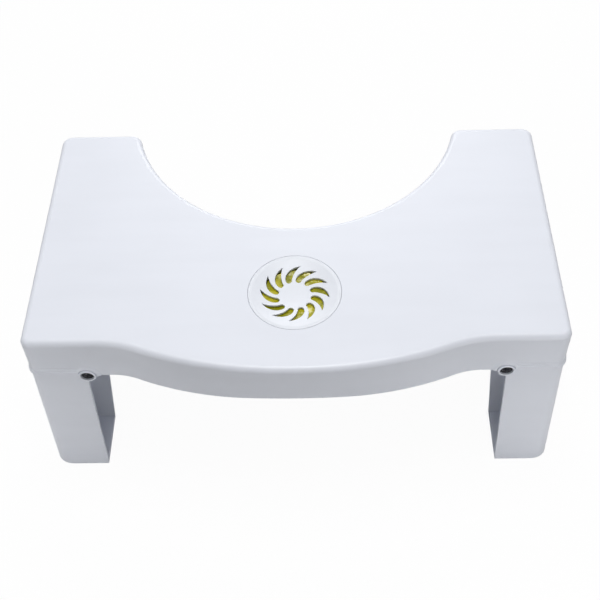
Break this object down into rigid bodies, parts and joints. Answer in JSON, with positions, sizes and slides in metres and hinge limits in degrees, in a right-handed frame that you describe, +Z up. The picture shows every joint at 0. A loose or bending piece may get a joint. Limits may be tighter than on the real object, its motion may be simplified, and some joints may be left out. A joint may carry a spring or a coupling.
{
  "type": "toilet footstool",
  "caption": "Low folding footstool with a bulged front, a U notch in its back edge, splayed arched legs that fold inward and a slotted scent insert in the deck.",
  "frame": {"origin": "floor level, under the middle of the stool's outer box", "axes": "+X along the stool's width to its right side, +Y from the bulged front to the notched back, +Z up"},
  "size_m": [0.4, 0.2402, 0.17],
  "materials": {
    "shell_plastic": "white moulded plastic with a fine satin gloss",
    "insert_plastic": "smooth white plastic, a little glossier than the deck",
    "scent_gel": "moist olive-yellow scented gel",
    "foot_rubber": "matt dark rubber with a fine tread",
    "dark_steel": "blackened steel screw",
    "bright_steel": "turned bright steel"
  },
  "bodies": {
    "deck": {"top_shell": "shell_plastic", "pivot_screw_right_front": "dark_steel", "pivot_screw_right_back": "dark_steel", "pivot_screw_left_front": "dark_steel", "pivot_screw_left_back": "dark_steel", "pivot_sleeve_right_front": "bright_steel", "pivot_sleeve_right_back": "bright_steel", "pivot_sleeve_left_front": "bright_steel", "pivot_sleeve_left_back": "bright_steel", "scent_cup": "insert_plastic", "scent_pad": "scent_gel"},
    "right_leg": {"right_leg": "shell_plastic", "foot_pad_right_front": "foot_rubber", "foot_pad_right_back": "foot_rubber"},
    "left_leg": {"left_leg": "shell_plastic", "foot_pad_left_front": "foot_rubber", "foot_pad_left_back": "foot_rubber"},
    "scent_lid": {"scent_lid": "insert_plastic"}
  },
  "joints": [
    {"name": "right_leg_fold", "type": "hinge", "parent": "deck", "child": "right_leg", "pos_m": [0.15086, 0.01092, 0.1323], "axis": [0, 1, 0], "range_deg": [0, 90]},
    {"name": "left_leg_fold", "type": "hinge", "parent": "deck", "child": "left_leg", "pos_m": [-0.15086, 0.01092, 0.1323], "axis": [0, -1, 0], "range_deg": [0, 90]},
    {"name": "scent_lid_lift", "type": "slide", "parent": "deck", "child": "scent_lid", "axis": [0, 0, 1], "range_m": [0, 0.03]}
  ]
}
